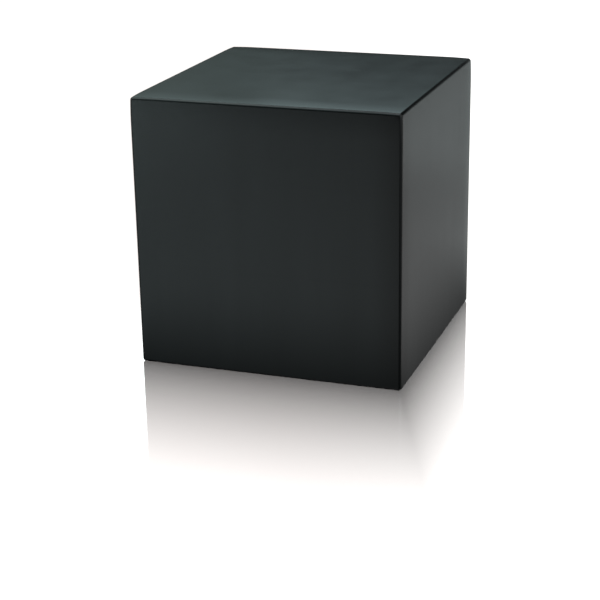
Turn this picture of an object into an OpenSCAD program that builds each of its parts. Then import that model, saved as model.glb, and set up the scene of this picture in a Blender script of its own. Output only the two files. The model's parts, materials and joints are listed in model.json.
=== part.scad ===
// Mirror block cube: a 3 x 3 x 3 turning puzzle whose layers all differ in thickness.
// Every face turns about a hidden ball mechanism that sits off the middle of the cube.
// Millimetres. +Z is up, the front is -Y, the right is +X, and the origin is the middle
// of the bottom face. Six screwed centres hold twelve edges, which hold eight corners.

/* [Outside] */
// length of the cube's side
cube_side = 57; // [51:0.5:90]
// radius of the twelve outer arrises
arris_r = 0.6; // [0.3:0.1:1.4]
// gap between neighbouring blocks at the surface
seam_gap = 0.04; // [0.02:0.01:0.3]

/* [Layers] */
// thickness of the middle layer, the same along all three axes
middle_layer = 19; // [17:0.5:23]
// thickness of the right-hand layer
right_layer = 10; // [9.5:0.5:13]
// thickness of the front layer
front_layer = 13; // [10:0.5:17]
// thickness of the top layer
top_layer = 16; // [10:0.5:18]

/* [Block moulding] */
// wall of the hollow blocks
wall = 1.6; // [1.2:0.1:2]
// play between a block's shell and the tongue on its foot
tongue_play = 0.08; // [0.05:0.01:0.15]
// depth of the groove inside each shell
groove_deep = 0.7; // [0.5:0.1:0.9]

/* [Ball mechanism] */
// how far each foot reaches under its neighbours
hook = 3.5; // [2.5:0.1:4]
// least plastic left between the ball and the nearest outer face
ball_cover = 0.6; // [0.5:0.1:1.2]
// gap between the feet, inside the ball
foot_gap = 0.3; // [0.1:0.05:0.5]
// gap between the ball of feet and the blocks that slide over it
ball_gap = 0.15; // [0.1:0.05:0.4]

/* [Core and hardware] */
// radius of the middle of the core
hub_r = 6; // [5:0.5:7]
// radius of the core's six arms
arm_r = 3.8; // [3.4:0.1:4.2]
// radius of the screw's shank
screw_r = 1.5; // [1.2:0.1:1.6]
// radius of the screw's head
head_r = 2.8; // [2.5:0.1:3]
// height of the screw's head
head_h = 1.9; // [1.6:0.1:2.2]
// thickness of the washer under the head
washer_t = 0.5; // [0.3:0.1:0.8]
// radius of the spring's wire
wire_r = 0.3; // [0.25:0.05:0.4]
// least gap between the spring's turns
coil_gap = 0.15; // [0.1:0.05:0.4]
// play of the screw in a centre, and of the well round its head
screw_play = 0.2; // [0.1:0.05:0.4]

/* [Hidden] */
$fn = 96;
part_black = "#2b2f31";
steel = "#b4b6b8";
spring_steel = "#8f9497";
// how far a cutting shape runs past what it cuts
past = 1;
// overlap that joins two shapes of one moulding
join = 0.1;
// how far the faces lie from the mechanism's centre: right, back, top, then left, front, bottom
cut = middle_layer / 2;
far_plus = [right_layer + cut, cube_side - front_layer - cut, top_layer + cut];
far_minus = [cube_side - far_plus.x, front_layer + cut, cube_side - far_plus.z];
least_far = min(concat(far_plus, far_minus));
pivot = [cube_side / 2 - far_plus.x, cube_side / 2 - far_plus.y, cube_side - far_plus.z];
// concentric spheres of the mechanism, and the cut between feet
ball_r = least_far - ball_cover;
over_r = ball_r + ball_gap;
skin_r = over_r + wall;
inner_cut = cut - hook;
// room round the core that the feet leave for the arms and springs
well_share = 1.75;
well_r = well_share * inner_cut;
// each arm stops short of that room's edge, under a bearing collar on the centre
arm_short = 2.5;
arm_far = well_r - arm_short;
bearing_gap = 0.1;
bearing_r = arm_r + 0.2;
bearing_bite = 0.5;
sg = seam_gap / 2;
fg = foot_gap / 2;
// screw stack along each arm, from the spring's seat outwards
head_cover = 0.5;
head_top = least_far - wall - head_cover;
head_base = head_top - head_h;
washer_base = head_base - washer_t;
spring_h = washer_base - well_r;
spring_mid = head_r - wire_r;
shank_end = 2 * screw_r;
head_play = 3 * screw_play;
head_well_r = head_r + head_play;
thread_play = 0.05;
washer_play = 0.1;
// cross recess in the screw's head
recess_long = 3.4;
recess_wide = 0.7;
recess_deep = 1;

RIGHT = [1, 0, 0];
LEFT = [-1, 0, 0];
BACK = [0, 1, 0];
FRONT = [0, -1, 0];
TOP = [0, 0, 1];
BOTTOM = [0, 0, -1];
FACES = [RIGHT, LEFT, BACK, FRONT, TOP, BOTTOM];
BLOCKS = [for (z = [1, 0, -1]) for (y = [-1, 0, 1]) for (x = [1, 0, -1]) [x, y, z]];
CORNERS = [for (b = BLOCKS) if (b * b == 3) b];
EDGES = [for (b = BLOCKS) if (b * b == 2) b];

// which faces a block shows, in words
function side_words(b) = str(
    b.z > 0 ? "_top" : b.z < 0 ? "_bottom" : "",
    b.y > 0 ? "_back" : b.y < 0 ? "_front" : "",
    b.x > 0 ? "_right" : b.x < 0 ? "_left" : "");
// distance from the mechanism's centre to the outer face on block b's side of axis i
function far(b, i) = b[i] < 0 ? far_minus[i] : far_plus[i];
// distance from the mechanism's centre to face f
function depth(f) = far(f, f.x != 0 ? 0 : f.y != 0 ? 1 : 2);
// spans of a block, worked out as if it stood on the positive side of every axis
function whole(b, skin = 0) = [for (i = [0:2])
    b[i] == 0 ? [-cut + sg, cut - sg] : [cut + sg, far(b, i) - skin]];
function hollow(b, side, past) = [for (i = [0:2]) b[i] == 0
    ? [-cut + sg + side, cut - sg - side]
    : [cut + sg + side, far(b, i) - wall + past]];
function neck(b) = [for (i = [0:2]) b[i] == 0
    ? [-inner_cut + fg, inner_cut - fg] : [cut + sg, far(b, i) - wall]];
function foot(b) = [for (i = [0:2]) b[i] == 0
    ? [-inner_cut + fg, inner_cut - fg] : [inner_cut + fg, ball_r + past]];

module span_box(s) {
    translate([s[0][0], s[1][0], s[2][0]])
        cube([s[0][1] - s[0][0], s[1][1] - s[1][0], s[2][1] - s[2][0]]);
}

// takes a block drawn on the positive side of every axis to its own side
module on_side(b) {
    translate(pivot)
        mirror([b.x < 0 ? 1 : 0, 0, 0])
            mirror([0, b.y < 0 ? 1 : 0, 0])
                mirror([0, 0, b.z < 0 ? 1 : 0])
                    children();
}

// turns +Z to face f, for the hardware on the arms
module on_arm(f) {
    translate(pivot)
        rotate([f.y == 0 ? 0 : -90 * f.y, f.x == 0 ? (f.z < 0 ? 180 : 0) : 90 * f.x, 0])
            children();
}

// waste outside the rounded arris along axis i, between the faces of the other two axes
module arris_waste(b, i) {
    j = (i + 1) % 3;
    k = (i + 2) % 3;
    s = whole(b);
    from = s[i][0] - past;
    to = b[i] == 0 ? s[i][1] + past : s[i][1] - arris_r;
    turn = i == 0 ? [90, 0, 90] : i == 1 ? [-90, -90, 0] : [0, 0, 0];
    rotate(turn) translate([s[j][1] - arris_r, s[k][1] - arris_r, from]) difference() {
        cube([arris_r + past, arris_r + past, to - from]);
        cylinder(r = arris_r, h = to - from);
    }
}

module corner_waste(b) {
    s = whole(b);
    translate([s.x[1] - arris_r, s.y[1] - arris_r, s.z[1] - arris_r]) difference() {
        cube(arris_r + past);
        sphere(r = arris_r);
    }
}

// ring along the inner half of the side walls, standing proud of their rim by tall:
// the foot's tongue, or with some play the groove that it goes into in the shell
module rim_ring(b, tall, play = 0) {
    difference() {
        span_box(hollow(b, wall / 2 - play, tall));
        span_box(hollow(b, wall + play, tall + past));
    }
}

module corner_shell(b) {
    color(part_black) on_side(b) difference() {
        span_box(whole(b));
        span_box([for (i = [0:2]) [cut - past, far(b, i) - wall]]);
        rim_ring(b, groove_deep, tongue_play);
        for (i = [0:2]) arris_waste(b, i);
        corner_waste(b);
    }
}

module corner_foot(b) {
    color(part_black) on_side(b) block_foot(b);
}

module edge_shell(b) {
    axis = b.x == 0 ? 0 : b.y == 0 ? 1 : 2;
    color(part_black) on_side(b) difference() {
        span_box(whole(b));
        span_box([for (i = [0:2])
            b[i] == 0 ? [-cut - past, cut + past] : [cut - past, far(b, i) - wall]]);
        rim_ring(b, groove_deep, tongue_play);
        arris_waste(b, axis);
    }
}

module edge_foot(b) {
    color(part_black) on_side(b) block_foot(b);
}

// side walls and ball skin of a block, its neck through the ball's surface, and its foot
module block_foot(b) {
    difference() {
        rim_ring(b, groove_deep - tongue_play);
        sphere(r = over_r);
    }
    difference() {
        span_box(whole(b, wall));
        difference() {
            span_box(hollow(b, wall, past));
            sphere(r = skin_r);
        }
        sphere(r = over_r);
    }
    intersection() {
        span_box(neck(b));
        difference() {
            sphere(r = over_r + wall / 2);
            sphere(r = well_r);
        }
    }
    intersection() {
        span_box(foot(b));
        difference() {
            sphere(r = ball_r);
            sphere(r = well_r);
        }
    }
}

// plate and skirt that cover a centre's screw well
module centre_cap(f) {
    deep = depth(f);
    half = cut - sg;
    post = inner_cut - fg;
    color(part_black) on_arm(f) difference() {
        translate([-half, -half, 0]) cube([2 * half, 2 * half, deep]);
        translate([-half + wall, -half + wall, -past])
            cube([2 * (half - wall), 2 * (half - wall), deep - wall + past]);
        difference() {
            sphere(r = over_r);
            translate([-post, -post, 0]) cube([2 * post, 2 * post, over_r + past]);
        }
    }
}

// screw post of a centre, with the flange that fits inside the cap's skirt
module centre_seat(f) {
    deep = depth(f) - wall;
    post = inner_cut - fg;
    flange = cut - sg - wall - tongue_play;
    color(part_black) on_arm(f) difference() {
        union() {
            difference() {
                translate([-post, -post, 0]) cube([2 * post, 2 * post, deep]);
                sphere(r = well_r);
            }
            if (deep > skin_r) difference() {
                intersection() {
                    translate([-flange, -flange, 0]) cube([2 * flange, 2 * flange, deep]);
                    sphere(r = skin_r);
                }
                sphere(r = over_r);
            }
            translate([0, 0, arm_far + bearing_gap])
                cylinder(r = bearing_r, h = arm_short - bearing_gap + bearing_bite);
        }
        cylinder(r = screw_r + screw_play, h = deep + past);
        translate([0, 0, well_r]) cylinder(r = head_well_r, h = deep);
    }
}

// one moulding: a hub and six arms, bored for the screws
module core() {
    color(part_black) translate(pivot) difference() {
        union() {
            sphere(r = hub_r);
            for (turn = [[0, 0, 0], [90, 0, 0], [0, 90, 0]])
                rotate(turn) cylinder(r = arm_r, h = 2 * arm_far, center = true);
        }
        for (turn = [[0, 0, 0], [90, 0, 0], [0, 90, 0]])
            rotate(turn) cylinder(r = screw_r + thread_play, h = 2 * (arm_far + past), center = true);
    }
}

module centre_screws() {
    color(steel) for (f = FACES) on_arm(f) difference() {
        union() {
            translate([0, 0, shank_end]) cylinder(r = screw_r, h = head_base - shank_end + join);
            translate([0, 0, head_base]) cylinder(r = head_r, h = head_h);
        }
        for (turn = [0, 90]) rotate([0, 0, turn])
            translate([-recess_long / 2, -recess_wide / 2, head_top - recess_deep])
                cube([recess_long, recess_wide, recess_deep + past]);
    }
}

module spring_washers() {
    color(steel) for (f = FACES) on_arm(f) translate([0, 0, washer_base]) difference() {
        cylinder(r = head_r, h = washer_t);
        translate([0, 0, -past]) cylinder(r = screw_r + washer_play, h = washer_t + 2 * past);
    }
}

// one open coil of six-sided wire, from its seat at z = 0 up to the washer
module coil(turns) {
    sides = 6;
    steps_per_turn = 12;
    steps = steps_per_turn * turns;
    rise = spring_h - 2 * wire_r;
    ring = [for (j = [0:sides - 1]) let (a = 360 * (j + 0.5) / sides) wire_r * [cos(a), sin(a)]];
    points = [for (i = [0:steps]) let (a = 360 * turns * i / steps) for (q = ring)
        [(spring_mid + q.x) * cos(a), (spring_mid + q.x) * sin(a), wire_r + rise * i / steps + q.y]];
    skin = [for (i = [0:steps - 1]) for (j = [0:sides - 1]) let (
        here = i * sides + j, next = i * sides + (j + 1) % sides)
        each [[here, next, next + sides], [here, next + sides, here + sides]]];
    ends = [[for (j = [sides - 1:-1:0]) j], [for (j = [0:sides - 1]) steps * sides + j]];
    polyhedron(points, concat(skin, ends));
}

module tension_springs() {
    turns = floor((spring_h - 2 * wire_r) / (2 * wire_r + coil_gap));
    color(spring_steel) for (f = FACES) on_arm(f) translate([0, 0, well_r]) coil(turns);
}

for (b = CORNERS) {
    corner_shell(b);
    corner_foot(b);
}
for (b = EDGES) {
    edge_shell(b);
    edge_foot(b);
}
for (f = FACES) {
    centre_cap(f);
    centre_seat(f);
}
core();
centre_screws();
spring_washers();
tension_springs();
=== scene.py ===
"""Looks of the mirror block cube: its blocks and their finishes, the studio and the camera."""

import itertools
import json
import logging
import math
from dataclasses import dataclass, field
from enum import Enum
from typing import Any, Optional, Sequence

import bmesh
import bpy
from mathutils import Matrix, Vector


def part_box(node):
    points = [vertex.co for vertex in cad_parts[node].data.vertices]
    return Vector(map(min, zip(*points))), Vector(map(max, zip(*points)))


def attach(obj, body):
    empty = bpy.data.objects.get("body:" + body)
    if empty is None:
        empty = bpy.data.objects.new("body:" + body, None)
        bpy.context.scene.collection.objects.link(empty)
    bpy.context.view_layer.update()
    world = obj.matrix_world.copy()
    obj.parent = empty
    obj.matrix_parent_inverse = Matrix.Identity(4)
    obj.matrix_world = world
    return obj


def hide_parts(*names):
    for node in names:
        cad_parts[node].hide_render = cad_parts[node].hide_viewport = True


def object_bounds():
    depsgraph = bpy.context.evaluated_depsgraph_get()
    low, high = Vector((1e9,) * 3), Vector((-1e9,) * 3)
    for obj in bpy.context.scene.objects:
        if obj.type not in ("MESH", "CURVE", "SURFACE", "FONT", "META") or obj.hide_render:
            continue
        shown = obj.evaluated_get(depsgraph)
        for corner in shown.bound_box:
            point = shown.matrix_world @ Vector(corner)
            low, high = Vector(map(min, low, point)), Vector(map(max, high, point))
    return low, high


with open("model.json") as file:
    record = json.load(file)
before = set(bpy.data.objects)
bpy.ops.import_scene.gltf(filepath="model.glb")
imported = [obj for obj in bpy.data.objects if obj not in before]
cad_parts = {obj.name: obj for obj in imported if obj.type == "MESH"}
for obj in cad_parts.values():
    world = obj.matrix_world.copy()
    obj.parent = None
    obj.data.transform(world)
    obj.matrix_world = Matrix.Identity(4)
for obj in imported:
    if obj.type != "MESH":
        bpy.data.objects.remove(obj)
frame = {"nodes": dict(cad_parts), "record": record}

log = logging.getLogger("mirror_block_cube")
MM = 0.001
CAD_BOX = [Vector(corner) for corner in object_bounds()]
CUBE_SIDE = CAD_BOX[1].x - CAD_BOX[0].x
CUBE_MIDDLE = (CAD_BOX[0] + CAD_BOX[1]) / 2
PIVOT = (Vector(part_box("core")[0]) + Vector(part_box("core")[1])) / 2
AXES = (0, 1, 2)

Colour = tuple[float, float, float, float]
WHITE: Colour = (1.0, 1.0, 1.0, 1.0)


# ---------------------------------------------------------------- helpers


def linear(hex_colour: str) -> Colour:
    """Turns an sRGB hex colour into Blender's linear one.

    Args:
        hex_colour: Six hex digits after a hash.

    Returns:
        Red, green, blue and an alpha of 1, all linear.
    """
    parts = [int(hex_colour[i : i + 2], 16) / 255 for i in (1, 3, 5)]
    curve = [c / 12.92 if c <= 0.04045 else ((c + 0.055) / 1.055) ** 2.4 for c in parts]
    return (curve[0], curve[1], curve[2], 1.0)


def add_node(
    tree: bpy.types.NodeTree,
    kind: str,
    inputs: Optional[dict[Any, Any]] = None,
    **settings: Any,
) -> bpy.types.Node:
    """Adds one shader node, sets it up and links it.

    Args:
        tree: Node tree that the node goes into.
        kind: Blender's name for the node type, without its ShaderNode prefix.
        inputs: Socket name or number to a value, or to the output socket that feeds it.
        settings: Attributes of the node itself, such as its operation.

    Returns:
        The new node.
    """
    node = tree.nodes.new("ShaderNode" + kind)
    for name, value in settings.items():
        setattr(node, name, value)
    for socket, value in (inputs or {}).items():
        if isinstance(value, bpy.types.NodeSocket):
            tree.links.new(value, node.inputs[socket])
        else:
            node.inputs[socket].default_value = value
    return node


def blank_material(name: str) -> tuple[bpy.types.Material, bpy.types.NodeTree]:
    """Makes a material with an empty node tree.

    Args:
        name: The finish's name.

    Returns:
        The material and its tree.
    """
    material = bpy.data.materials.new(name)
    material.use_nodes = True
    material.node_tree.nodes.clear()
    return material, material.node_tree


def body_of(node: str) -> str:
    """Finds the body that a CAD node belongs to.

    Args:
        node: The node's name.

    Returns:
        The body's name.
    """
    bodies = frame["record"]["behaviour"]["bodies"]
    return next(body for body, members in bodies.items() if node in members)


def object_of(mesh_source: bmesh.types.BMesh, name: str) -> bpy.types.Object:
    """Turns a bmesh into an object in the scene, with its faces turned outwards.

    Args:
        mesh_source: The bmesh, which is freed.
        name: The object's name.

    Returns:
        The object.
    """
    bmesh.ops.recalc_face_normals(mesh_source, faces=mesh_source.faces)
    mesh = bpy.data.meshes.new(name)
    mesh_source.to_mesh(mesh)
    mesh_source.free()
    made = bpy.data.objects.new(name, mesh)
    bpy.context.scene.collection.objects.link(made)
    return made


def smooth(made: bpy.types.Object, crease_degrees: float = 25) -> None:
    """Shades a piece smooth except at its sharp edges, and keeps its flats flat.

    Args:
        made: The piece.
        crease_degrees: Edges turning by more than this stay sharp.
    """
    mesh = made.data
    mesh.polygons.foreach_set("use_smooth", [True] * len(mesh.polygons))
    mesh.set_sharp_from_angle(angle=math.radians(crease_degrees))
    weigh = made.modifiers.new("flats_stay_flat", "WEIGHTED_NORMAL")
    weigh.keep_sharp = True


# ---------------------------------------------------------------- finishes


@dataclass(frozen=True)
class SatinLacquer:
    """Moulded ABS, sprayed satin black and left to level, with faint sags that run downwards."""

    # To the eye: nearly black, with a soft broad sheen that drifts a little over each face.
    name: str = "satin_black_lacquer_on_moulded_abs"
    colour: str = "#111414"
    sag_colour: str = "#0d1010"
    roughness: float = 0.25
    roughness_change: float = 0.02
    ior: float = 1.5
    peel_size: float = 1.3 * MM
    peel_height: float = 0.0012 * MM
    wave_size: float = 9 * MM
    wave_height: float = 0.012 * MM
    sag_width: float = 7 * MM
    sag_length: float = 55 * MM
    sag_span: tuple[float, float] = (0.3, 0.7)

    def material(self) -> bpy.types.Material:
        """Builds the lacquer.

        Returns:
            The finished material.
        """
        material, tree = blank_material(self.name)
        place = add_node(tree, "TexCoord").outputs["Object"]
        pull = (1 / self.sag_width, 1 / self.sag_width, 1 / self.sag_length)
        drawn_out = add_node(tree, "VectorMath", {0: place, 1: pull}, operation="MULTIPLY")
        sag = add_node(
            tree, "TexNoise", {"Vector": drawn_out.outputs[0], "Scale": 1.0, "Detail": 2.0}
        )
        peel = add_node(
            tree, "TexNoise", {"Vector": place, "Scale": 1 / self.peel_size, "Detail": 2.0}
        )
        wave = add_node(
            tree, "TexNoise", {"Vector": place, "Scale": 1 / self.wave_size, "Detail": 1.0}
        )
        tone = add_node(
            tree,
            "Mix",
            {0: sag.outputs[0], 6: linear(self.colour), 7: linear(self.sag_colour)},
            data_type="RGBA",
        )
        sheen = add_node(
            tree,
            "MapRange",
            {
                "Value": sag.outputs[0],
                "From Min": self.sag_span[0],
                "From Max": self.sag_span[1],
                "To Min": self.roughness - self.roughness_change,
                "To Max": self.roughness + self.roughness_change,
            },
        )
        waved = add_node(
            tree,
            "Bump",
            {"Height": wave.outputs[0], "Distance": self.wave_height, "Strength": 1.0},
        )
        peeled = add_node(
            tree,
            "Bump",
            {
                "Height": peel.outputs[0],
                "Distance": self.peel_height,
                "Strength": 1.0,
                "Normal": waved.outputs[0],
            },
        )
        shader = add_node(
            tree,
            "BsdfPrincipled",
            {
                "Base Color": tone.outputs[2],
                "Roughness": sheen.outputs[0],
                "IOR": self.ior,
                "Normal": peeled.outputs[0],
            },
        )
        add_node(tree, "OutputMaterial", {"Surface": shader.outputs[0]})
        return material


@dataclass(frozen=True)
class MouldedAbs:
    """Plain black ABS as it leaves the mould, with the fine grain of a spark-eroded tool."""

    # To the eye: a duller, greyer black than the lacquer. The grain is drawn coarser than a
    # real tool leaves it, because the real one would be too fine to show.
    name: str = "black_abs_as_moulded"
    colour: str = "#161819"
    roughness: float = 0.46
    roughness_change: float = 0.06
    ior: float = 1.53
    grain_size: float = 0.5 * MM
    grain_height: float = 0.004 * MM

    def material(self) -> bpy.types.Material:
        """Builds the plastic.

        Returns:
            The finished material.
        """
        material, tree = blank_material(self.name)
        place = add_node(tree, "TexCoord").outputs["Object"]
        grain = add_node(
            tree, "TexNoise", {"Vector": place, "Scale": 1 / self.grain_size, "Detail": 4.0}
        )
        relief = add_node(
            tree,
            "Bump",
            {"Height": grain.outputs[0], "Distance": self.grain_height, "Strength": 1.0},
        )
        rough = add_node(
            tree,
            "MapRange",
            {
                "Value": grain.outputs[0],
                "To Min": self.roughness - self.roughness_change,
                "To Max": self.roughness + self.roughness_change,
            },
        )
        shader = add_node(
            tree,
            "BsdfPrincipled",
            {
                "Base Color": linear(self.colour),
                "Roughness": rough.outputs[0],
                "IOR": self.ior,
                "Normal": relief.outputs[0],
            },
        )
        add_node(tree, "OutputMaterial", {"Surface": shader.outputs[0]})
        return material


class SteelSurface(Enum):
    """How a steel piece was finished: its colour, roughness and the pitch of its marks."""

    ZINC_PLATED = ("zinc_plated_steel", "#c9cbce", 0.28, 0.25 * MM)
    DRAWN = ("drawn_spring_steel", "#8d9298", 0.36, 0.12 * MM)


@dataclass(frozen=True)
class Steel:
    """Small steel hardware: plated screws and washers, or drawn spring wire."""

    # To the eye: a bright metal for the plating, a greyer and duller one for the drawn wire.
    surface: SteelSurface
    smoother: float = 0.08
    duller: float = 0.12

    def material(self) -> bpy.types.Material:
        """Builds the steel.

        Returns:
            The finished material.
        """
        name, colour, roughness, pitch = self.surface.value
        material, tree = blank_material(name)
        place = add_node(tree, "TexCoord").outputs["Object"]
        marks = add_node(tree, "TexNoise", {"Vector": place, "Scale": 1 / pitch, "Detail": 3.0})
        rough = add_node(
            tree,
            "MapRange",
            {
                "Value": marks.outputs[0],
                "To Min": roughness - self.smoother,
                "To Max": roughness + self.duller,
            },
        )
        shader = add_node(
            tree,
            "BsdfPrincipled",
            {"Base Color": linear(colour), "Metallic": 1.0, "Roughness": rough.outputs[0]},
        )
        add_node(tree, "OutputMaterial", {"Surface": shader.outputs[0]})
        return material


# ---------------------------------------------------------------- blocks


@dataclass
class BlockShell:
    """Outer half of a corner or edge block: two or three walls with rounded outer arrises."""

    node: str
    arris: float = 0.6 * MM
    arris_steps: int = 7
    ease_width: float = 6 * MM
    ease_drop: float = 0.12 * MM
    ease_steps: int = 6
    wall: float = 1.6 * MM
    groove_from: float = 0.72 * MM
    groove_to: float = 1.68 * MM
    groove_deep: float = 0.7 * MM
    closer: float = 0.015 * MM
    touch: float = 0.01 * MM
    weld: float = 0.0001 * MM
    low: list[float] = field(init=False)
    high: list[float] = field(init=False)
    side: list[int] = field(init=False)

    def __post_init__(self) -> None:
        """Reads the block's place and which of its faces lie on the cube's outside."""
        low, high = (list(corner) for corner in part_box(self.node))
        at_high = [CAD_BOX[1][i] - high[i] < self.touch for i in AXES]
        at_low = [low[i] - CAD_BOX[0][i] < self.touch for i in AXES]
        self.side = [1 if at_high[i] else -1 if at_low[i] else 0 for i in AXES]
        self.low = [low[i] - (self.closer if self.side[i] >= 0 else 0) for i in AXES]
        self.high = [high[i] + (self.closer if self.side[i] <= 0 else 0) for i in AXES]

    def outer(self, axis: int) -> float:
        """Gives where the outer face across an axis lies."""
        return self.high[axis] if self.side[axis] > 0 else self.low[axis]

    def inner(self, axis: int) -> float:
        """Gives where the face towards the cube's middle lies."""
        return self.low[axis] if self.side[axis] > 0 else self.high[axis]

    def marks(self, axis: int) -> list[float]:
        """Spaces the grid lines along an axis, closer together over the rounded arris."""
        if self.side[axis] == 0:
            return [self.low[axis], self.high[axis]]
        flat = self.ease_width - self.arris
        depths = [self.arris + flat * k / self.ease_steps for k in range(1, self.ease_steps + 1)]
        depths += [
            self.arris * (1 - math.tan(math.pi / 4 * k / self.arris_steps))
            for k in range(self.arris_steps + 1)
        ]
        steps = [self.outer(axis) - self.side[axis] * depth for depth in depths]
        return sorted([self.inner(axis)] + steps)

    def rounded(self, point: Sequence[float]) -> Vector:
        """Pulls a point of the square block in to the rounded one.

        Args:
            point: A point on the square block's surface.

        Returns:
            The same point once the outer arrises are rounded.
        """
        past = [
            max(0.0, self.side[i] * (point[i] - self.outer(i)) + self.arris)
            if self.side[i]
            else 0.0
            for i in AXES
        ]
        reach = math.sqrt(sum(p * p for p in past))
        pull = max(past) / reach if reach else 1.0
        ease = [self.easing(point, i) for i in AXES]
        return Vector(
            [
                point[i]
                - self.side[i] * past[i] * (1 - pull)
                - self.side[i] * self.ease_drop * ease[i] * (sum(ease) - ease[i])
                for i in AXES
            ]
        )

    def easing(self, point: Sequence[float], axis: int) -> float:
        """Tells how far into the eased strip along an outer face a point is.

        Args:
            point: A point on the square block's surface.
            axis: The axis across the outer face.

        Returns:
            1 on the face, falling smoothly to 0 at the strip's inner end. The face that the
            cube stands on has no strip.
        """
        stands_on_it = axis == 2 and self.side[axis] < 0
        if self.side[axis] == 0 or stands_on_it:
            return 0.0
        depth = abs(self.outer(axis) - point[axis])
        return max(0.0, 1 - depth / self.ease_width) ** 2

    def solid(self) -> bmesh.types.BMesh:
        """Builds the whole block as one closed, rounded skin.

        Returns:
            The skin.
        """
        made = bmesh.new()
        marks = [self.marks(i) for i in AXES]
        for across in AXES:
            one, two = [i for i in AXES if i != across]
            for level in (self.low[across], self.high[across]):
                rows = []
                for a in marks[one]:
                    row = []
                    for b in marks[two]:
                        point = [0.0, 0.0, 0.0]
                        point[across], point[one], point[two] = level, a, b
                        row.append(made.verts.new(self.rounded(point)))
                    rows.append(row)
                for i, j in itertools.product(range(len(rows) - 1), range(len(rows[0]) - 1)):
                    made.faces.new(
                        (rows[i][j], rows[i + 1][j], rows[i + 1][j + 1], rows[i][j + 1])
                    )
        bmesh.ops.remove_doubles(made, verts=made.verts, dist=self.weld)
        return made

    def inset_box(self, starts: Sequence[float], outer_inset: float) -> list[tuple[float, float]]:
        """Gives a box inside the block, measured in from its faces.

        Args:
            starts: Distance in from the inner face along each axis, or in from both ends.
            outer_inset: Distance in from each outer face.

        Returns:
            The box's lowest and highest place along each axis.
        """
        spans = []
        for i in AXES:
            if self.side[i] == 0:
                spans.append((self.low[i] + starts[i], self.high[i] - starts[i]))
            else:
                ends = (
                    self.inner(i) + self.side[i] * starts[i],
                    self.outer(i) - self.side[i] * outer_inset,
                )
                spans.append((min(ends), max(ends)))
        return spans

    def cutters(self) -> list[list[tuple[float, float]]]:
        """Lists the boxes to cut away: the hollow, and the groove for the foot's tongue."""
        past = 1 * MM
        boxes = [self.inset_box([-past] * 3, self.wall)]
        groove = self.inset_box([self.groove_from] * 3, self.wall - self.groove_deep)
        width = self.groove_to - self.groove_from
        for i in AXES:
            low, high = groove[i]
            ends = []
            if self.side[i] >= 0:
                ends.append((low, low + width))
            if self.side[i] <= 0:
                ends.append((high - width, high))
            boxes += [[end if k == i else groove[k] for k in AXES] for end in ends]
        return boxes

    def build(self, finish: bpy.types.Material) -> bpy.types.Object:
        """Builds the shell in place of its CAD node.

        Args:
            finish: Its material.

        Returns:
            The shell.
        """
        made = object_of(self.solid(), self.node + "_skin")
        waste = bmesh.new()
        for spans in self.cutters():
            middle = Vector([(low + high) / 2 for low, high in spans])
            size = Vector([high - low for low, high in spans])
            bmesh.ops.create_cube(
                waste, size=1, matrix=Matrix.Translation(middle) @ Matrix.Diagonal(size).to_4x4()
            )
        tool = object_of(waste, "waste")
        cut = made.modifiers.new("hollow", "BOOLEAN")
        cut.operation, cut.solver, cut.use_self = "DIFFERENCE", "EXACT", True
        cut.object = tool
        seen = bpy.context.evaluated_depsgraph_get()
        made.data = bpy.data.meshes.new_from_object(made.evaluated_get(seen))
        made.modifiers.clear()
        bpy.data.objects.remove(tool)
        made.data.materials.clear()
        made.data.materials.append(finish)
        smooth(made)
        return made


@dataclass
class CentreCap:
    """Cover of a face's middle block: a square plate whose skirt ends on the ball of feet."""

    node: str
    wall: float = 1.6 * MM
    closer: float = 0.015 * MM
    ball: float = 19.05 * MM
    side_steps: int = 24

    def outward(self) -> Vector:
        """Finds the direction that the cap faces."""
        low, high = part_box(self.node)
        aim = (Vector(low) + Vector(high)) / 2 - PIVOT
        main = max(AXES, key=lambda i: abs(aim[i]))
        return Vector([math.copysign(1, aim[i]) if i == main else 0 for i in AXES])

    def ring(self, half: float) -> list[tuple[float, float]]:
        """Spaces points round a square.

        Args:
            half: Half the square's side.

        Returns:
            The points, in order round the square.
        """
        steps = [-half + 2 * half * k / self.side_steps for k in range(self.side_steps)]
        return (
            [(s, -half) for s in steps]
            + [(half, s) for s in steps]
            + [(-s, half) for s in steps]
            + [(-half, -s) for s in steps]
        )

    def build(self, finish: bpy.types.Material) -> bpy.types.Object:
        """Builds the cap in place of its CAD node.

        Args:
            finish: Its material.

        Returns:
            The cap.
        """
        low, high = (Vector(corner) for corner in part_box(self.node))
        aim = self.outward()
        main = max(AXES, key=lambda i: abs(aim[i]))
        deep = abs((high if aim[main] > 0 else low)[main] - PIVOT[main])
        across = [i for i in AXES if i != main]
        half = (high[across[0]] - low[across[0]]) / 2 + self.closer
        place = Matrix.Translation(PIVOT) @ aim.to_track_quat("Z", "Y").to_matrix().to_4x4()
        made = bmesh.new()
        loops = []
        for size, level in (
            (half, deep),
            (half, None),
            (half - self.wall, None),
            (half - self.wall, deep - self.wall),
        ):
            loop = []
            for x, y in self.ring(size):
                z = math.sqrt(self.ball**2 - x * x - y * y) if level is None else level
                loop.append(made.verts.new(place @ Vector((x, y, z))))
            loops.append(loop)
        count = len(loops[0])
        for first, second in itertools.pairwise(loops):
            for k in range(count):
                after = (k + 1) % count
                made.faces.new((first[k], first[after], second[after], second[k]))
        made.faces.new(loops[0])
        made.faces.new(loops[-1])
        cap = object_of(made, self.node + "_skin")
        cap.data.materials.append(finish)
        smooth(cap)
        return cap


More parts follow.
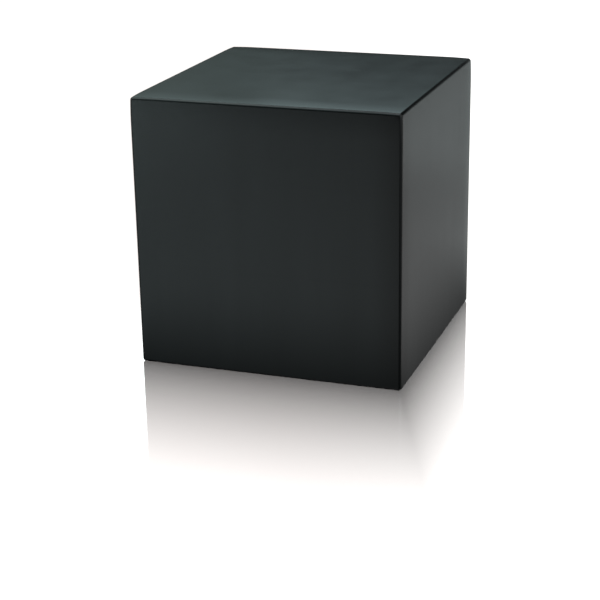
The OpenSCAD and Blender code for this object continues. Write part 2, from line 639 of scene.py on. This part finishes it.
class Blocks:
    """All twenty-six blocks and the mechanism they turn on."""

    def __init__(self) -> None:
        """Makes the finishes, one material each."""
        self.lacquer = SatinLacquer().material()
        self.abs = MouldedAbs().material()
        self.plated = Steel(SteelSurface.ZINC_PLATED).material()
        self.wire = Steel(SteelSurface.DRAWN).material()

    def build_skins(self, lit: bpy.types.Collection) -> None:
        """Builds every outer piece that shows when the cube is whole.

        Args:
            lit: The collection that the softboxes light.
        """
        for node in sorted(frame["nodes"]):
            if "_shell" in node:
                skin = BlockShell(node).build(self.lacquer)
            elif "_cap" in node:
                skin = CentreCap(node).build(self.lacquer)
            else:
                continue
            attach(skin, body_of(node))
            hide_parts(node)
            lit.objects.link(skin)
            log.info("%s: %d faces", skin.name, len(skin.data.polygons))

    def dress_mechanism(self) -> None:
        """Gives the feet, seats, core and hardware their finishes."""
        for name, node in sorted(frame["nodes"].items()):
            if "_shell" in name or "_cap" in name:
                continue
            if name in ("centre_screws", "spring_washers"):
                finish = self.plated
            elif name == "tension_springs":
                finish = self.wire
            else:
                finish = self.abs
            node.data.materials.clear()
            node.data.materials.append(finish)
            log.info("%s: dressed in %s", name, finish.name)


# ---------------------------------------------------------------- studio


def heading(azimuth: float, elevation: float) -> tuple[float, float, float]:
    """Gives the direction of a place in the room.

    Args:
        azimuth: Degrees to the right of straight in front of the cube, seen from above.
        elevation: Degrees above level.

    Returns:
        The unit direction from the cube.
    """
    turn, lift = math.radians(azimuth), math.radians(elevation)
    return (
        math.sin(turn) * math.cos(lift),
        -math.cos(turn) * math.cos(lift),
        math.sin(lift),
    )


@dataclass(frozen=True)
class Glow:
    """A soft patch of light far off in the room."""

    azimuth: float
    elevation: float
    spread: float
    strength: float
    colour: str = "#ffffff"


@dataclass(frozen=True)
class Softbox:
    """A square diffuser close to the cube."""

    name: str
    place: tuple[float, float, float]
    aim: tuple[float, float, float]
    size: float
    radiance: float
    colour: str = "#ffffff"

    def build(self) -> bpy.types.Object:
        """Hangs the softbox, which the camera doesn't see.

        Returns:
            The light.
        """
        lamp = bpy.data.lights.new(self.name, "AREA")
        lamp.shape, lamp.size = "SQUARE", self.size
        lamp.energy = self.radiance * math.pi * self.size**2
        lamp.color = linear(self.colour)[:3]
        made = bpy.data.objects.new(self.name, lamp)
        bpy.context.scene.collection.objects.link(made)
        made.location = self.place
        way = Vector(self.aim) - Vector(self.place)
        made.rotation_euler = way.to_track_quat("-Z", "Y").to_euler()
        made.visible_camera = False
        return made


@dataclass
class Studio:
    """Glossy sheet on white, in a dim room whose soft lights shape the cube's faces."""

    floor_reach: float = 2.4
    floor_drop: float = 0.02 * MM
    sheet_roughness: float = 0.04
    # The mirror settings below also set how dark the painted shadow in the cube's reflections is,
    # and how it fades.
    mirror_near: float = 0.86
    mirror_fade: float = 46 * MM
    mirror_power: float = 1.03
    side_squeeze: float = 2.6
    # Share of the white that the painted shadow takes away in the cube's reflections.
    painted_shadow_share: float = 0.85
    surround_radius: float = 2.5
    surround_strength: float = 1.06
    surround_colour: str = "#fffaf8"
    room_strength: float = 0.012
    glows: tuple[Glow, ...] = (
        Glow(181, -18, 20, 0.27, "#f5ffff"),
        Glow(181, -5, 20, 0.42, "#f0ffff"),
        Glow(203, 34, 20, 1.03, "#dffbff"),
        Glow(225, 20, 30, 0.30, "#e4fff6"),
        Glow(-30, -20, 20, 0.75, "#e9fcff"),
        Glow(-10, -20, 20, 0.21),
        Glow(0, -50, 30, 1.20),
        Glow(-30, 54, 24, 0.63, "#ddffff"),
        Glow(115, -20, 24, 0.78),
        Glow(60, 20, 45, 0.84, "#f6fdff"),
        Glow(0, 90, 30, 2.08, "#f3faff"),
        Glow(170, -32, 20, 0.44),
        Glow(150, -14, 14, 0.48),
        Glow(245, -20, 38, 0.60),
        Glow(-70, 22, 32, 0.60),
        Glow(112, 22, 28, 0.50),
    )
    softboxes: tuple[Softbox, ...] = (
        Softbox("key_over_left", (-0.10, -0.02, 0.20), (0, 0, 0.05), 0.12, 1.56, "#e9fffb"),
        Softbox("low_back_right", (0.12, 0.20, 0.03), (0.02, 0, 0.03), 0.10, 0.20, "#f0ffff"),
        Softbox("low_front_left", (-0.15, -0.20, 0.05), (0, 0, 0.03), 0.12, 0.56, "#e4ffff"),
        Softbox("small_over_back", (-0.02, 0.10, 0.12), (0, 0, 0.05), 0.06, 0.36, "#e0fbff"),
    )

    def sheet_material(self) -> bpy.types.Material:
        """Builds the floor: a clear sheet on white that mirrors the cube and fades away from it,
        with a painted shadow that only the cube's reflections see.

        Returns:
            The floor's material.
        """
        material, tree = blank_material("mirror_sheet_with_painted_shadow_on_white")
        place = add_node(tree, "NewGeometry").outputs["Position"]
        split = add_node(tree, "SeparateXYZ", {0: place})
        outside = []
        for axis, squeeze in ((0, self.side_squeeze), (1, 1.0)):
            size = add_node(tree, "Math", {0: split.outputs[axis]}, operation="ABSOLUTE")
            past = add_node(
                tree, "Math", {0: size.outputs[0], 1: CUBE_SIDE / 2}, operation="SUBTRACT"
            )
            kept = add_node(tree, "Math", {0: past.outputs[0], 1: 0.0}, operation="MAXIMUM")
            outside.append(
                add_node(tree, "Math", {0: kept.outputs[0], 1: squeeze}, operation="MULTIPLY")
            )
        away = add_node(
            tree, "Math", {0: outside[0].outputs[0], 1: outside[1].outputs[0]}, operation="MAXIMUM"
        )
        near = add_node(
            tree,
            "MapRange",
            {
                "Value": away.outputs[0],
                "From Min": 0.0,
                "From Max": self.mirror_fade,
                "To Min": 1.0,
                "To Max": 0.0,
            },
        )
        bent = add_node(
            tree, "Math", {0: near.outputs[0], 1: self.mirror_power}, operation="POWER"
        )
        mirror_and_painted_shadow = add_node(
            tree, "Math", {0: bent.outputs[0], 1: self.mirror_near}, operation="MULTIPLY"
        )
        clear = add_node(tree, "BsdfTransparent")
        mirror = add_node(
            tree, "BsdfGlossy", {"Color": WHITE, "Roughness": self.sheet_roughness}
        )
        # Seen directly, the near sheet mirrors the cube. In the cube's own reflections it is a
        # painted
        # shadow instead: a grey clear sheet that darkens the white below it, so that the faces
        # fall off downwards.
        left = 1 - self.painted_shadow_share
        painted_shadow = add_node(tree, "BsdfTransparent", {"Color": (left, left, left, 1)})
        looks = add_node(tree, "LightPath").outputs["Is Camera Ray"]
        near_look = add_node(
            tree, "MixShader", {0: looks, 1: painted_shadow.outputs[0], 2: mirror.outputs[0]}
        )
        both = add_node(
            tree, "MixShader", {0: mirror_and_painted_shadow.outputs[0], 1: clear.outputs[0], 2: near_look.outputs[0]}
        )
        add_node(tree, "OutputMaterial", {"Surface": both.outputs[0]})
        return material

    def surround_material(self) -> bpy.types.Material:
        """Builds the surround: it adds white light and hides nothing behind it.

        Returns:
            The surround's material.
        """
        material, tree = blank_material("white_surround")
        glow = add_node(
            tree,
            "Emission",
            {"Color": linear(self.surround_colour), "Strength": self.surround_strength},
        )
        clear = add_node(tree, "BsdfTransparent")
        both = add_node(tree, "AddShader", {0: glow.outputs[0], 1: clear.outputs[0]})
        add_node(tree, "OutputMaterial", {"Surface": both.outputs[0]})
        return material

    def light_room(self) -> None:
        """Sets the dim room and its soft glows, which light and reflect in the cube."""
        world = bpy.data.worlds.new("dim_studio")
        world.use_nodes = True
        tree = world.node_tree
        tree.nodes.clear()
        way = add_node(tree, "TexCoord").outputs["Generated"]
        total = add_node(tree, "Background", {"Color": WHITE, "Strength": self.room_strength})
        for glow in self.glows:
            aim = heading(glow.azimuth, glow.elevation)
            facing = add_node(tree, "VectorMath", {0: way, 1: aim}, operation="DOT_PRODUCT")
            amount = add_node(
                tree,
                "MapRange",
                {
                    "Value": facing.outputs["Value"],
                    "From Min": math.cos(math.radians(glow.spread)),
                    "From Max": 1.0,
                    "To Min": 0.0,
                    "To Max": glow.strength,
                },
                interpolation_type="SMOOTHSTEP",
            )
            patch = add_node(
                tree, "Background", {"Color": linear(glow.colour), "Strength": amount.outputs[0]}
            )
            total = add_node(tree, "AddShader", {0: total.outputs[0], 1: patch.outputs[0]})
        add_node(tree, "OutputWorld", {"Surface": total.outputs[0]})
        bpy.context.scene.world = world

    def build(self) -> bpy.types.Collection:
        """Makes the floor, the surround, the room and the softboxes.

        Returns:
            The collection that the softboxes light, which new pieces join.
        """
        reach = self.floor_reach
        sheet = bmesh.new()
        bmesh.ops.create_grid(sheet, x_segments=1, y_segments=1, size=reach)
        floor = object_of(sheet, "floor")
        floor.location.z = -self.floor_drop
        floor.data.materials.append(self.sheet_material())
        ball = bmesh.new()
        bmesh.ops.create_icosphere(ball, subdivisions=3, radius=self.surround_radius)
        surround = object_of(ball, "surround")
        surround.data.materials.append(self.surround_material())
        lit = bpy.data.collections.new("lit_by_surround")
        lit.objects.link(floor)
        surround.light_linking.receiver_collection = lit
        self.light_room()
        lit_by_boxes = bpy.data.collections.new("lit_by_softboxes")
        for piece in frame["nodes"].values():
            lit_by_boxes.objects.link(piece)
        for softbox in self.softboxes:
            softbox.build().light_linking.receiver_collection = lit_by_boxes
        return lit_by_boxes


@dataclass
class Camera:
    """The lens and where it stands, in the cube's own measures."""

    stand_azimuth: float = 19.02
    stand_elevation: float = 16.3
    sides_away: float = 5.971
    aim_azimuth: float = 19.48
    aim_elevation: float = 19.72
    roll: float = -0.97
    focal_mm: float = 94.2
    sensor_mm: float = 36

    def build(self) -> bpy.types.Object:
        """Places the camera and makes it the scene's.

        Returns:
            The camera object.
        """
        stand = Vector(heading(self.stand_azimuth, self.stand_elevation))
        back = Vector(heading(self.aim_azimuth, self.aim_elevation))
        roll = math.radians(self.roll)
        level = Vector((0, 0, 1)).cross(back).normalized()
        rise = back.cross(level)
        right = level * math.cos(roll) + rise * math.sin(roll)
        up = rise * math.cos(roll) - level * math.sin(roll)
        place = CUBE_MIDDLE + stand * CUBE_SIDE * self.sides_away
        lens = bpy.data.cameras.new("camera")
        lens.lens = self.focal_mm
        lens.sensor_width = self.sensor_mm
        camera = bpy.data.objects.new("camera", lens)
        bpy.context.scene.collection.objects.link(camera)
        turned = Matrix((right, up, back)).transposed().to_4x4()
        camera.matrix_world = Matrix.Translation(place) @ turned
        bpy.context.scene.camera = camera
        return camera


def write_sizes() -> None:
    """Brings every object's placement in the scene up to date."""
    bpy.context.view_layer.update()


def main() -> None:
    """Builds the studio and the cube, and reports each piece."""
    logging.basicConfig(level=logging.INFO, format="%(name)s: %(message)s")
    bpy.context.scene.view_settings.view_transform = "Standard"
    lit = Studio().build()
    Camera().build()
    blocks = Blocks()
    blocks.build_skins(lit)
    blocks.dress_mechanism()
    write_sizes()


if __name__ == "__main__":
    main()
